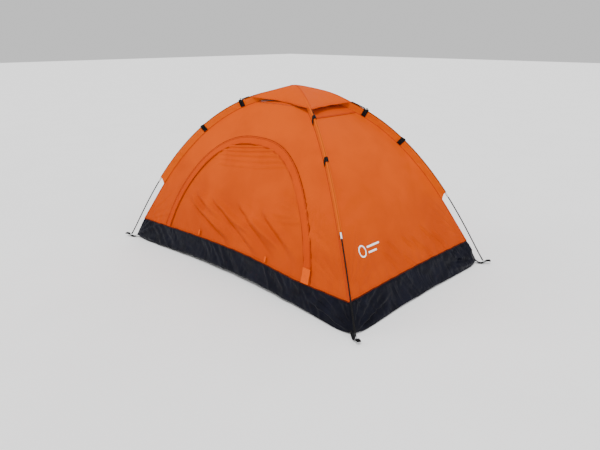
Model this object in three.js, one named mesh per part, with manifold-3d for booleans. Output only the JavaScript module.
// Small two-person dome tent: two crossed shock-corded poles carry a fabric canopy on a tub floor.
// Millimetres, +Z up. The origin is on the ground under the crossing of the poles. The long wall
// with the arched door faces -Y, and the short walls face +X and -X.
import * as THREE from 'three';
import { mergeVertices } from 'three/addons/utils/BufferGeometryUtils.js';
import Module from 'manifold-3d';

const wasm = await Module();
wasm.setup();

// ---- Driving dimensions ----

// Floor plan and tub
const FLOOR_LENGTH = 2000;
const FLOOR_WIDTH = 1260;
const TUB_HEIGHT = 148;
const CLOTH = 2.4;
const TOUCH_GAP = 0.4;

// Arch of one pole, from its foot to the crossing, as one cubic curve
const POLE_FOOT_RADIUS = 1224;
const POLE_FOOT_HEIGHT = 3;
const POLE_FOOT_HANDLE_IN = 95;
const POLE_FOOT_HANDLE_UP = 98;
const POLE_TOP_HANDLE = 750;
const CROSSING_HEIGHT = 1053;
const CROSSING_STEP = 4.6;

// Pole sections
const POLE_CHORDS = 42;
const POLE_SIDES = 8;
const POLE_RADIUS = 3.75;
const POLE_BORE = 2.2;
const PIN_RADIUS = 2.2;
const PIN_LENGTH = 30;
const END_SECTION = 536;
const MIDDLE_SECTIONS = 5;
const FERRULE_LENGTH = 75;
const FERRULE_WALL = 0.9;
const SHOCK_CORD_RADIUS = 1.2;
const SHOCK_CORD_MARGIN = 45;

// Canopy: how far its corner ridge stays inside the pole
const RIDGE_INSET = 40;
const RIDGE_INSET_AT_FOOT = 28;
const RIDGE_TAPER = 420;
const WALL_ROWS = 14;
const VENT_RADIUS = 250;

// Pole sleeves
const SLEEVE_START = 532;
const SLEEVE_END = 1545;
const SLEEVE_BORE = 5.4;
const SLEEVE_RADIUS = 7;
const SEAM_STANDOFF = 3;

// Arched door and its zip
const DOOR_HALF_WIDTH = 640;
const DOOR_HEIGHT = 625;
const ARCH_HEIGHT_POWER = 1.3;
const ARCH_WIDTH_POWER = 0.8;
const ARCH_STEPS = 28;
const DOOR_SILL_GAP = 3;
const ZIP_WIDTH = 11;
const ZIP_THICKNESS = 3;
const ZIP_CLEARANCE = 2;
const COVER_OUTSIDE = 28;
const COVER_INSIDE = 22;
const COVER_THICKNESS = 1.6;
const COVER_LIFT = 4;
const COVER_SILL_GAP = 20;

// Zip slider and pull, on the inner face near the foot of the right-hand leg of the arch
const SLIDER = { width: 9, length: 15, thickness: 2.4, station: 2.3 };
const SLIDER_CLEARANCE = 0.6;
const PULL = { width: 5, length: 30, thickness: 1.2, ear: 3.2, standoff: 1.8 };

// Vent cap and the elastics that hold its corners
const CAP_CORNER_RADIUS = 358;
const CAP_CLEARANCE = 14;
const CAP_PEAK = 14;
const CAP_HEM_HOLLOW = 0.13;
const CAP_HEM_DROP = 24;
const ELASTIC_RADIUS = 1.6;
const ELASTIC_END = 428;

// Corner tabs
const TAB_WIDTH = 24;
const TAB_THICKNESS = 2.2;
const TAB_LENGTH_PAST_POLE = 34;
const TAB_TAIL_START = 11;
const TAB_TAIL_DROP = (28 * Math.PI) / 180;
const GROMMET = { bore: 3.6, barrel: 5, flange: 8.5, lip: 1.2 };

// Tie-back straps for the rolled door
const TIE_SPACING = 310;
const TIE = { width: 12, height: 42, thickness: 1.4 };

// ---- Colours ----

const ORANGE = finish(0xef7420, 0.72, 0);
const SLEEVE_ORANGE = finish(0xff8a2c, 0.7, 0);
const TUB_NAVY = finish(0x1c1d2b, 0.55, 0);
const WEBBING_BLACK = finish(0x111114, 0.85, 0);
const POLE_GREY = finish(0x2b2e33, 0.45, 0);
const STEEL = finish(0xc6c8cb, 0.3, 1);
const MESH_GREY = finish(0x4a3a30, 0.9, 0);
const CORD_WHITE = finish(0xe4e2dc, 0.8, 0);

function finish(color, roughness, metalness) {
  return new THREE.MeshStandardMaterial({ color, roughness, metalness });
}

// ---- Solids ----

const tent = new THREE.Group();

function addPart(parent, name, geometry, material) {
  const mesh = new THREE.Mesh(geometry, material);
  mesh.name = name;
  parent.add(mesh);
  return mesh;
}

// A closed body through a list of rings of points. A looped skin joins its last ring to its first,
// as a tube with a bore does. Any other is closed by a fan at each end, about the given tip point
// or about the middle of the ring.
function skin(rings, { looped = false, firstTip = null, lastTip = null } = {}) {
  const count = rings[0].length;
  const points = rings.flat();
  const faces = [];
  const pairs = looped ? rings.length : rings.length - 1;
  for (let row = 0; row < pairs; row += 1) {
    const next = (row + 1) % rings.length;
    for (let i = 0; i < count; i += 1) {
      const j = (i + 1) % count;
      faces.push(row * count + i, row * count + j, next * count + j);
      faces.push(row * count + i, next * count + j, next * count + i);
    }
  }
  if (!looped) {
    addFan(points, faces, 0, count, firstTip, true);
    addFan(points, faces, (rings.length - 1) * count, count, lastTip, false);
  }
  const geometry = new THREE.BufferGeometry().setFromPoints(points);
  geometry.setIndex(faces);
  return faceOutwards(geometry);
}

function addFan(points, faces, start, count, tip, reversed) {
  const ring = points.slice(start, start + count);
  const middle = tip ?? ring.reduce((sum, p) => sum.add(p), new THREE.Vector3()).divideScalar(count);
  const centre = points.push(middle) - 1;
  for (let i = 0; i < count; i += 1) {
    const j = (i + 1) % count;
    const edge = reversed ? [start + j, start + i] : [start + i, start + j];
    faces.push(edge[0], edge[1], centre);
  }
}

function faceOutwards(geometry) {
  const position = geometry.getAttribute('position');
  const index = geometry.getIndex();
  const [a, b, c] = [new THREE.Vector3(), new THREE.Vector3(), new THREE.Vector3()];
  let volume = 0;
  for (let i = 0; i < index.count; i += 3) {
    a.fromBufferAttribute(position, index.getX(i));
    b.fromBufferAttribute(position, index.getX(i + 1));
    c.fromBufferAttribute(position, index.getX(i + 2));
    volume += a.dot(b.cross(c));
  }
  if (volume < 0) {
    geometry.setIndex(Array.from(index.array).reverse());
  }
  return geometry;
}

function solid(geometry) {
  const bare = geometry.clone();
  bare.deleteAttribute('normal');
  bare.deleteAttribute('uv');
  const merged = mergeVertices(bare, 1e-4);
  const vertProperties = new Float32Array(merged.getAttribute('position').array);
  const triVerts = new Uint32Array(merged.getIndex().array);
  return new wasm.Manifold(new wasm.Mesh({ numProp: 3, vertProperties, triVerts }));
}

function geometryOf(body) {
  const mesh = body.getMesh();
  const geometry = new THREE.BufferGeometry();
  geometry.setAttribute('position', new THREE.BufferAttribute(mesh.vertProperties, 3));
  geometry.setIndex(new THREE.BufferAttribute(mesh.triVerts, 1));
  return geometry;
}

// ---- The line of a pole, in the upright plane of its diagonal ----
// In that plane X is the distance from the middle of the tent and Z is the height.

const DIAGONAL = Math.hypot(FLOOR_LENGTH, FLOOR_WIDTH);
const ALONG = FLOOR_LENGTH / DIAGONAL;
const ACROSS = FLOOR_WIDTH / DIAGONAL;
const DIAGONAL_ANGLE = Math.atan2(FLOOR_WIDTH, FLOOR_LENGTH);
const SIDEWAYS = new THREE.Vector3(0, 1, 0);

function poleArch(topHeight) {
  const foot = new THREE.Vector3(POLE_FOOT_RADIUS, 0, POLE_FOOT_HEIGHT);
  const lower = new THREE.Vector3(
    POLE_FOOT_RADIUS - POLE_FOOT_HANDLE_IN, 0, POLE_FOOT_HEIGHT + POLE_FOOT_HANDLE_UP);
  const upper = new THREE.Vector3(POLE_TOP_HANDLE, 0, topHeight);
  const top = new THREE.Vector3(0, 0, topHeight);
  const mirror = (p) => new THREE.Vector3(-p.x, 0, p.z);
  const arch = new THREE.CurvePath();
  arch.add(new THREE.CubicBezierCurve3(foot, lower, upper, top));
  arch.add(new THREE.CubicBezierCurve3(mirror(top), mirror(upper), mirror(lower), mirror(foot)));
  return new PoleLine(arch.getSpacedPoints(POLE_CHORDS));
}

// A chain of straight chords with a cross-section frame at each station. Everything threaded on a
// pole takes its rings from the same frames, so nested pieces keep an even gap.
class PoleLine {
  constructor(points) {
    this.points = points;
    this.outward = points.map((point, i) => {
      const before = points[Math.max(i - 1, 0)];
      const after = points[Math.min(i + 1, points.length - 1)];
      const tangent = after.clone().sub(before).normalize();
      return new THREE.Vector3(tangent.z, 0, -tangent.x);
    });
    this.distance = [0];
    for (let i = 1; i < points.length; i += 1) {
      this.distance.push(this.distance[i - 1] + points[i].distanceTo(points[i - 1]));
    }
    this.length = this.distance[points.length - 1];
  }

  // Point at distance s from the first foot, moved out by u in the plane and sideways by v
  at(s, u = 0, v = 0) {
    let i = this.distance.findIndex((d) => d > s) - 1;
    if (i < 0) {
      i = this.points.length - 2;
    }
    const share = (s - this.distance[i]) / (this.distance[i + 1] - this.distance[i]);
    const placed = (k) => this.points[k].clone().addScaledVector(this.outward[k], u);
    return placed(i).lerp(placed(i + 1), share).addScaledVector(SIDEWAYS, v);
  }

  stations(start, end) {
    const inside = this.distance.filter((d) => d > start + 1 && d < end - 1);
    return [start, ...inside, end];
  }

  circle(s, radius, sides = POLE_SIDES) {
    return Array.from({ length: sides }, (_, i) => {
      const angle = ((i + 0.5) / sides) * 2 * Math.PI;
      return this.at(s, radius * Math.cos(angle), radius * Math.sin(angle));
    });
  }
}

// Rings for a run of equal circles from start to end, in either direction
function circleRun(line, start, end, radius, sides = POLE_SIDES) {
  const forward = line.stations(Math.min(start, end), Math.max(start, end));
  const ordered = start < end ? forward : forward.reverse();
  return ordered.map((s) => line.circle(s, radius, sides));
}

// ---- Poles ----

function endSection(line) {
  const bottom = PIN_LENGTH + 8;
  return skin([
    ...circleRun(line, 0, PIN_LENGTH, PIN_RADIUS),
    ...circleRun(line, PIN_LENGTH, END_SECTION - TOUCH_GAP, POLE_RADIUS),
    ...circleRun(line, END_SECTION - TOUCH_GAP, bottom, POLE_BORE),
  ]);
}

function middleSection(line, start, end) {
  return skin([
    ...circleRun(line, start, end, POLE_RADIUS),
    ...circleRun(line, end, start, POLE_BORE),
  ], { looped: true });
}

function ferrule(line, joint) {
  const start = joint - FERRULE_LENGTH / 2;
  const end = joint + FERRULE_LENGTH / 2;
  const bore = POLE_RADIUS + TOUCH_GAP;
  return skin([
    ...circleRun(line, start, end, bore + FERRULE_WALL),
    ...circleRun(line, end, start, bore),
  ], { looped: true });
}

function buildPole(label, angle, topHeight) {
  const line = poleArch(topHeight);
  const pole = new THREE.Group();
  pole.rotation.z = angle;
  tent.add(pole);

  const middle = (line.length - 2 * END_SECTION) / MIDDLE_SECTIONS;
  addPart(pole, `pole_${label}_end_section_1`, endSection(line), POLE_GREY);
  for (let i = 0; i < MIDDLE_SECTIONS; i += 1) {
    const start = END_SECTION + i * middle + TOUCH_GAP;
    const end = END_SECTION + (i + 1) * middle - TOUCH_GAP;
    addPart(pole, `pole_${label}_middle_section_${i + 1}`, middleSection(line, start, end), POLE_GREY);
  }
  const farEnd = addPart(pole, `pole_${label}_end_section_2`, endSection(line), POLE_GREY);
  farEnd.rotation.z = Math.PI;

  for (let i = 0; i <= MIDDLE_SECTIONS; i += 1) {
    const joint = END_SECTION + i * middle;
    addPart(pole, `pole_${label}_ferrule_${i + 1}`, ferrule(line, joint), STEEL);
  }

  const cordRings = circleRun(
    line, SHOCK_CORD_MARGIN, line.length - SHOCK_CORD_MARGIN, SHOCK_CORD_RADIUS, 5);
  addPart(pole, `pole_${label}_shock_cord`, skin(cordRings), CORD_WHITE);
  return line;
}

// ---- Canopy profile ----
// The corner ridge of the canopy runs inside the pole. All four walls share its profile, because
// every level section of the canopy is a rectangle with its corners on the ridges.

const middleArch = poleArch(CROSSING_HEIGHT);

function ridgeInset(s) {
  const share = Math.min(s / RIDGE_TAPER, 1);
  const smooth = share * share * (3 - 2 * share);
  return RIDGE_INSET_AT_FOOT + (RIDGE_INSET - RIDGE_INSET_AT_FOOT) * smooth;
}

const ridge = [];
for (let s = 0; s <= middleArch.length / 2; s += 4) {
  ridge.push(middleArch.at(s, -ridgeInset(s)));
}

// Distance of the ridge from the middle of the tent, at a height
function ridgeRadius(height) {
  const i = ridge.findIndex((p) => p.z > height);
  const [low, high] = i <= 0 ? [ridge[0], ridge[1]] : [ridge[i - 1], ridge[i]];
  const share = (height - low.z) / (high.z - low.z);
  return low.x + share * (high.x - low.x);
}

// Height of the ridge at a distance from the middle
function ridgeHeight(radius) {
  const i = ridge.findIndex((p) => p.x < radius);
  const share = (ridge[i - 1].x - radius) / (ridge[i - 1].x - ridge[i].x);
  return ridge[i - 1].z + share * (ridge[i].z - ridge[i - 1].z);
}

const WALL_FOOT = TUB_HEIGHT + TOUCH_GAP;
const WALL_TOP = ridgeHeight(VENT_RADIUS);

// A wall that faces -Y. reach is the wall's distance from the middle for each unit of ridge radius,
// and spread is its half length for each unit.
const LONG_WALL = { reach: ACROSS, spread: ALONG };
const SHORT_WALL = { reach: ALONG, spread: ACROSS };

// Point on a wall: x along it, at a height, lifted off its middle surface
function wallPoint(wall, x, height, lift = 0) {
  const step = 2;
  const rise = ridgeRadius(height + step) - ridgeRadius(height - step);
  const slope = (wall.reach * rise) / (2 * step);
  const scale = 1 / Math.hypot(1, slope);
  const y = -wall.reach * ridgeRadius(height) - lift * scale;
  return new THREE.Vector3(x, y, height - lift * slope * scale);
}

// Half length of a wall at a height and lift, so that two walls meet on the diagonal
function wallHalfLength(wall, height, lift) {
  const { y } = wallPoint(wall, 0, height, lift);
  return (-y * wall.spread) / wall.reach - TOUCH_GAP;
}

function wallRow(wall, height, halfLength = null) {
  const row = [];
  for (const lift of [CLOTH / 2, -CLOTH / 2]) {
    const x = halfLength ?? wallHalfLength(wall, height, lift);
    const ends = [wallPoint(wall, -x, height, lift), wallPoint(wall, x, height, lift)];
    row.push(...(lift > 0 ? ends : ends.reverse()));
  }
  return row;
}

function wallShell(wall) {
  const rows = [];
  for (let i = 0; i <= WALL_ROWS; i += 1) {
    rows.push(wallRow(wall, WALL_FOOT + ((WALL_TOP - WALL_FOOT) * i) / WALL_ROWS));
  }
  // The foot is level, so that it rests evenly on the rim of the tub
  for (const point of rows[0]) {
    point.z = WALL_FOOT;
  }
  return skin(rows);
}

// ---- Door arch ----
// The line of the zip, from the right-hand foot over the top to the left-hand foot. Offsets are
// measured outwards from the door across the surface of the wall.

function archPoint(step) {
  const angle = (step / ARCH_STEPS) * Math.PI;
  const side = Math.sign(Math.cos(angle));
  const height = DOOR_HEIGHT * Math.abs(Math.sin(angle)) ** (2 / ARCH_HEIGHT_POWER);
  return new THREE.Vector2(
    side * DOOR_HALF_WIDTH * Math.abs(Math.cos(angle)) ** ARCH_WIDTH_POWER,
    TUB_HEIGHT + height);
}

// Direction away from the door, in wall coordinates of length along and height
function archOutward(step) {
  const near = Math.max(step - 0.5, 0.02);
  const far = Math.min(step + 0.5, ARCH_STEPS - 0.02);
  const run = archPoint(far).sub(archPoint(near));
  const stretch = wallStretch(archPoint(step).y);
  const flat = new THREE.Vector2(run.y * stretch, -run.x).normalize();
  return new THREE.Vector2(flat.x, flat.y / stretch);
}

// Length up the sloping wall for each unit of height
function wallStretch(height) {
  const low = wallPoint(LONG_WALL, 0, height - 5);
  const high = wallPoint(LONG_WALL, 0, height + 5);
  return low.distanceTo(high) / 10;
}

function archOffset(step, offset) {
  return archPoint(step).addScaledVector(archOutward(step), offset);
}

// A strip that follows the arch between two offsets, lifted off the wall, above a lowest height
function archStrip(inside, outside, liftLow, liftHigh, lowest) {
  const rings = [];
  for (let step = 0; step <= ARCH_STEPS; step += 1) {
    const inner = archOffset(step, inside);
    const outer = archOffset(step, outside);
    inner.y = Math.max(inner.y, lowest);
    outer.y = Math.max(outer.y, lowest);
    rings.push([
      wallPoint(LONG_WALL, inner.x, inner.y, liftLow),
      wallPoint(LONG_WALL, outer.x, outer.y, liftLow),
      wallPoint(LONG_WALL, outer.x, outer.y, liftHigh),
      wallPoint(LONG_WALL, inner.x, inner.y, liftHigh),
    ]);
  }
  return skin(rings);
}

// A block through the front wall in the outline of the arch, moved by an offset
function archBlock(offset, lowest) {
  const outline = new THREE.Shape();
  const depth = FLOOR_WIDTH / 2 + 100;
  const corners = [];
  for (let step = 0; step <= ARCH_STEPS; step += 1) {
    const point = archOffset(step, offset);
    point.y = Math.max(point.y, lowest);
    corners.push(point);
  }
  corners[0].y = lowest;
  corners[ARCH_STEPS].y = lowest;
  outline.setFromPoints(corners);
  const block = new THREE.ExtrudeGeometry(outline, { depth, bevelEnabled: false });
  block.rotateX(Math.PI / 2);
  return block;
}

// ---- Canopy ----

function buildCanopy() {
  const doorway = archBlock(ZIP_WIDTH / 2 + ZIP_CLEARANCE, TUB_HEIGHT - 20);
  const frontWall = solid(wallShell(LONG_WALL)).subtract(solid(doorway));
  addPart(tent, 'wall_front', geometryOf(frontWall), ORANGE);
  addPart(tent, 'wall_back', wallShell(LONG_WALL), ORANGE).rotation.z = Math.PI;
  addPart(tent, 'wall_right', wallShell(SHORT_WALL), ORANGE).rotation.z = Math.PI / 2;
  addPart(tent, 'wall_left', wallShell(SHORT_WALL), ORANGE).rotation.z = -Math.PI / 2;

  const panel = archBlock(-(ZIP_WIDTH / 2 + ZIP_CLEARANCE), TUB_HEIGHT + DOOR_SILL_GAP);
  const flap = solid(wallShell(LONG_WALL)).intersect(solid(panel));
  addPart(tent, 'door_flap', geometryOf(flap), ORANGE);

  const chain = archStrip(
    -ZIP_WIDTH / 2, ZIP_WIDTH / 2, -ZIP_THICKNESS / 2, ZIP_THICKNESS / 2, TUB_HEIGHT + 2);
  addPart(tent, 'door_zip_chain', chain, WEBBING_BLACK);
  const cover = archStrip(
    -COVER_INSIDE, COVER_OUTSIDE, COVER_LIFT, COVER_LIFT + COVER_THICKNESS,
    TUB_HEIGHT + COVER_SILL_GAP);
  addPart(tent, 'door_zip_cover', cover, ORANGE);
}

// The slider lies against the inner face of the zip. Its pull hangs plumb from an ear on it.
function buildZipSlider() {
  const at = archPoint(SLIDER.station);
  const ahead = archPoint(SLIDER.station + 0.5);
  const lift = -(ZIP_THICKNESS / 2 + SLIDER_CLEARANCE + SLIDER.thickness / 2);
  const place = wallPoint(LONG_WALL, at.x, at.y, lift);
  const travel = wallPoint(LONG_WALL, ahead.x, ahead.y, lift).sub(place).normalize();
  const inward = wallPoint(LONG_WALL, at.x, at.y, lift - 10).sub(place).normalize();
  const across = new THREE.Vector3().crossVectors(travel, inward).normalize();
  inward.crossVectors(across, travel);

  const slider = new THREE.Group();
  slider.matrix.makeBasis(across, travel, inward).setPosition(place);
  slider.matrix.decompose(slider.position, slider.quaternion, slider.scale);
  tent.add(slider);

  const ear = PULL.ear;
  const outline = new THREE.Shape();
  outline.moveTo(-SLIDER.length / 2, -SLIDER.thickness / 2);
  outline.lineTo(SLIDER.length / 2, -SLIDER.thickness / 2);
  outline.lineTo(SLIDER.length / 2 - 2, SLIDER.thickness / 2);
  outline.lineTo(ear, SLIDER.thickness / 2);
  outline.lineTo(ear, SLIDER.thickness / 2 + ear);
  outline.lineTo(-ear, SLIDER.thickness / 2 + ear);
  outline.lineTo(-ear, SLIDER.thickness / 2);
  outline.lineTo(-SLIDER.length / 2 + 2, SLIDER.thickness / 2);
  const body = new THREE.ExtrudeGeometry(outline, { depth: SLIDER.width, bevelEnabled: false });
  body.translate(0, 0, -SLIDER.width / 2);
  body.rotateX(Math.PI / 2);
  body.rotateZ(Math.PI / 2);
  addPart(slider, 'zip_slider', body, STEEL);

  const hinge = place.clone().addScaledVector(inward, SLIDER.thickness / 2 + ear + PULL.standoff);
  const tab = new THREE.Shape();
  const half = PULL.width / 2;
  tab.moveTo(-half, 0);
  tab.lineTo(half, 0);
  tab.lineTo(half + 1, -PULL.length + 4);
  tab.absarc(0, -PULL.length + 4, half + 1, 0, -Math.PI, true);
  const pull = new THREE.ExtrudeGeometry(
    tab, { depth: PULL.thickness, bevelEnabled: false, curveSegments: 6 });
  pull.rotateX(Math.PI / 2);
  pull.translate(hinge.x, hinge.y, hinge.z);
  addPart(tent, 'zip_pull', pull, WEBBING_BLACK);
}

function buildTies() {
  const height = TUB_HEIGHT + 8;
  for (const [side, label] of [[1, 'right'], [-1, 'left']]) {
    const lift = CLOTH / 2 + TOUCH_GAP;
    const low = wallPoint(LONG_WALL, side * TIE_SPACING, height, lift);
    const high = wallPoint(LONG_WALL, side * TIE_SPACING, height + TIE.height, lift);
    const outlineRow = (p) => [
      new THREE.Vector3(p.x - TIE.width / 2, p.y, p.z),
      new THREE.Vector3(p.x + TIE.width / 2, p.y, p.z),
      new THREE.Vector3(p.x + TIE.width / 2, p.y - TIE.thickness, p.z),
      new THREE.Vector3(p.x - TIE.width / 2, p.y - TIE.thickness, p.z),
    ];
    const fold = low.clone().lerp(high, 0.5);
    fold.y -= 1.5;
    const strap = skin([outlineRow(low), outlineRow(fold), outlineRow(high)]);
    addPart(tent, `door_tie_${label}`, strap, SLEEVE_ORANGE);
  }
}

function buildTub() {
  const level = (radius, height) => [[1, 1], [-1, 1], [-1, -1], [1, -1]].map(
    ([sx, sy]) => new THREE.Vector3(sx * radius * ALONG, sy * radius * ACROSS, height));
  const footRadius = DIAGONAL / 2;
  const rimRadius = ridgeRadius(TUB_HEIGHT);
  const cloth = CLOTH / ACROSS;
  const tub = skin([
    level(footRadius, 0),
    level(rimRadius + cloth / 2, TUB_HEIGHT),
    level(rimRadius - cloth / 2, TUB_HEIGHT),
    level(footRadius - cloth, CLOTH),
  ]);
  addPart(tent, 'floor_tub', tub, TUB_NAVY);
}

// Mesh roof that closes the canopy under the vent cap
function buildVentMesh() {
  const radii = [VENT_RADIUS - 1.5, 190, 125, 60];
  const square = (radius, lift) => [[1, 1], [-1, 1], [-1, -1], [1, -1]].map(
    ([sx, sy]) => new THREE.Vector3(
      sx * radius * ALONG, sy * radius * ACROSS, ridgeHeight(radius) + lift));
  const top = radii.map((radius) => square(radius, CLOTH / 2));
  const bottom = radii.map((radius) => square(radius, -CLOTH / 2));
  const peak = ridge[ridge.length - 1].z;
  const tip = (lift) => new THREE.Vector3(0, 0, peak + lift);
  const roof = skin([...top.reverse(), ...bottom],
    { firstTip: tip(CLOTH / 2), lastTip: tip(-CLOTH / 2) });
  addPart(tent, 'vent_mesh', roof, MESH_GREY);
}

// ---- Sleeves ----

// How far the seam of a sleeve lies inside its pole, just clear of the canopy's ridge
function seamInset(line, s) {
  const rise = line.at(s, 1).z - line.at(s, 0).z;
  let inset = RIDGE_INSET;
  for (let pass = 0; pass < 8; pass += 1) {
    const seam = line.at(s, -inset);
    inset += (seam.z - ridgeHeight(seam.x)) * rise - SEAM_STANDOFF;
  }
  return inset;
}

// Section of a sleeve: two layers that part at the ridge seam and pass round the pole
function sleeveSection(line, s) {
  const seam = seamInset(line, s);
  const channel = line.circle(s, SLEEVE_RADIUS);
  channel[3] = line.at(s, -seam, CLOTH / 2);
  channel[4] = line.at(s, -seam, -CLOTH / 2);
  return { outer: channel, bore: line.circle(s, SLEEVE_BORE) };
}

function sleeve(line) {
  const sections = line.stations(SLEEVE_START, SLEEVE_END).map((s) => sleeveSection(line, s));
  const outside = sections.map((section) => section.outer);
  const inside = sections.map((section) => section.bore).reverse();
  return skin([...outside, ...inside], { looped: true });
}

// ---- Vent cap ----

// Underside of the cap along a diagonal, and the hem between two corners
function capRing(line, share, lift) {
  const reach = CAP_CORNER_RADIUS * share;
  const middleDistance = line.length / 2;
  let s = middleDistance - reach;
  for (let pass = 0; pass < 6; pass += 1) {
    s += line.at(s).x - reach;
  }
  const raised = CAP_CLEARANCE + CAP_PEAK * (1 - share) ** 3;
  const z = line.at(s, raised).z + lift;
  const corners = [[1, 1], [-1, 1], [-1, -1], [1, -1]].map(
    ([sx, sy]) => new THREE.Vector3(sx * reach * ALONG, sy * reach * ACROSS, z));
  const ring = [];
  corners.forEach((corner, i) => {
    const next = corners[(i + 1) % corners.length];
    const middle = corner.clone().lerp(next, 0.5);
    middle.x *= 1 - CAP_HEM_HOLLOW * share;
    middle.y *= 1 - CAP_HEM_HOLLOW * share;
    middle.z -= CAP_HEM_DROP * share ** 2;
    ring.push(corner, middle);
  });
  return ring;
}

function buildCap(line) {
  const shares = [0.12, 0.4, 0.7, 1];
  const top = shares.map((share) => capRing(line, share, CLOTH));
  const bottom = shares.map((share) => capRing(line, share, 0)).reverse();
  const peak = line.at(line.length / 2, CAP_CLEARANCE + CAP_PEAK).z;
  const tip = (lift) => new THREE.Vector3(0, 0, peak + lift);
  const shell = skin([...top, ...bottom], { firstTip: tip(CLOTH), lastTip: tip(0) });
  addPart(tent, 'vent_cap', shell, ORANGE);
}

// Elastic from a corner of the cap down the outside of the sleeve, ending in a hook
function capElastic(line) {
  const clear = SLEEVE_RADIUS + ELASTIC_RADIUS + 1.5;
  const start = line.length / 2 - CAP_CORNER_RADIUS - 9;
  const end = line.length / 2 - ELASTIC_END;
  const ring = (centre, outward) => [0, 1, 2, 3, 4, 5].map((i) => {
    const angle = (i / 6) * 2 * Math.PI;
    return centre.clone()
      .addScaledVector(outward, ELASTIC_RADIUS * Math.cos(angle))
      .addScaledVector(SIDEWAYS, ELASTIC_RADIUS * Math.sin(angle));
  });
  const up = new THREE.Vector3(0.35, 0, 0.94);
  const route = [start, (start + end) / 2, end, end - 12].map((s, i) => {
    const lift = i === 3 ? clear + 4 : clear;
    return line.at(s, lift, 0);
  });
  return skin(route.map((centre) => ring(centre, up)));
}

// ---- Corners ----

// Webbing tab sewn under the floor corner. It rises past the foot of the pole, square to it, so
// that the pin stands through the grommet, and beyond the grommet its tail levels out.
function buildCorner(label, angle, line) {
  const corner = new THREE.Group();
  corner.rotation.z = angle;
  tent.add(corner);

  const through = line.at(PIN_LENGTH * 0.45);
  const poleDirection = line.at(PIN_LENGTH).sub(line.at(0)).normalize();
  const along = new THREE.Vector3(poleDirection.z, 0, -poleDirection.x);
  const half = TAB_THICKNESS / 2;
  const seam = new THREE.Vector3(DIAGONAL / 2 + TOUCH_GAP + 0.5, 0, half + 1);
  const low = through.clone().addScaledVector(along, -16);
  const tailStart = through.clone().addScaledVector(along, TAB_TAIL_START);
  const tailAlong = along.clone().applyAxisAngle(SIDEWAYS, TAB_TAIL_DROP);
  const tailNormal = poleDirection.clone().applyAxisAngle(SIDEWAYS, TAB_TAIL_DROP);
  const tailEnd = tailStart.clone().addScaledVector(tailAlong, TAB_LENGTH_PAST_POLE - TAB_TAIL_START);
  const mitre = poleDirection.clone().add(tailNormal).normalize();
  mitre.divideScalar(Math.cos(TAB_TAIL_DROP / 2));
  low.z = Math.max(low.z, half + 0.4);
  const row = (p, normal) => [
    p.clone().addScaledVector(normal, half).addScaledVector(SIDEWAYS, -TAB_WIDTH / 2),
    p.clone().addScaledVector(normal, half).addScaledVector(SIDEWAYS, TAB_WIDTH / 2),
    p.clone().addScaledVector(normal, -half).addScaledVector(SIDEWAYS, TAB_WIDTH / 2),
    p.clone().addScaledVector(normal, -half).addScaledVector(SIDEWAYS, -TAB_WIDTH / 2),
  ];
  const upright = new THREE.Vector3(0, 0, 1);
  const strap = skin([
    row(seam, upright), row(low, poleDirection), row(tailStart, mitre), row(tailEnd, tailNormal),
  ]);

  const turnToPole = new THREE.Quaternion().setFromUnitVectors(SIDEWAYS, poleDirection);
  const hole = new THREE.CylinderGeometry(
    GROMMET.barrel + TOUCH_GAP, GROMMET.barrel + TOUCH_GAP, 20, 12);
  hole.applyQuaternion(turnToPole);
  hole.translate(through.x, through.y, through.z);
  const tab = geometryOf(solid(strap).subtract(solid(hole)));
  addPart(corner, `corner_tab_${label}`, tab, WEBBING_BLACK);

  const flangeStart = half + 0.3;
  const flangeEnd = flangeStart + GROMMET.lip;
  const profile = [
    [GROMMET.bore, -flangeEnd], [GROMMET.flange, -flangeEnd], [GROMMET.flange, -flangeStart],
    [GROMMET.barrel, -flangeStart], [GROMMET.barrel, flangeStart], [GROMMET.flange, flangeStart],
    [GROMMET.flange, flangeEnd], [GROMMET.bore, flangeEnd], [GROMMET.bore, -flangeEnd],
  ].map(([x, y]) => new THREE.Vector2(x, y));
  const ring = new THREE.LatheGeometry(profile, 12);
  ring.applyQuaternion(turnToPole);
  ring.translate(through.x, through.y, through.z);
  addPart(corner, `grommet_${label}`, geometryOf(solid(ring)), STEEL);

  addPart(corner, `pole_sleeve_${label}`, sleeve(line), SLEEVE_ORANGE);
  addPart(corner, `cap_elastic_${label}`, capElastic(line), WEBBING_BLACK);
}

// ---- Assembly ----

const upperPole = buildPole('a', -DIAGONAL_ANGLE, CROSSING_HEIGHT + CROSSING_STEP);
const lowerPole = buildPole('b', DIAGONAL_ANGLE, CROSSING_HEIGHT - CROSSING_STEP);
buildTub();
buildCanopy();
buildZipSlider();
buildTies();
buildVentMesh();
buildCap(upperPole);
buildCorner('front_right', -DIAGONAL_ANGLE, upperPole);
buildCorner('back_left', Math.PI - DIAGONAL_ANGLE, upperPole);
buildCorner('back_right', DIAGONAL_ANGLE, lowerPole);
buildCorner('front_left', Math.PI + DIAGONAL_ANGLE, lowerPole);

export default tent;
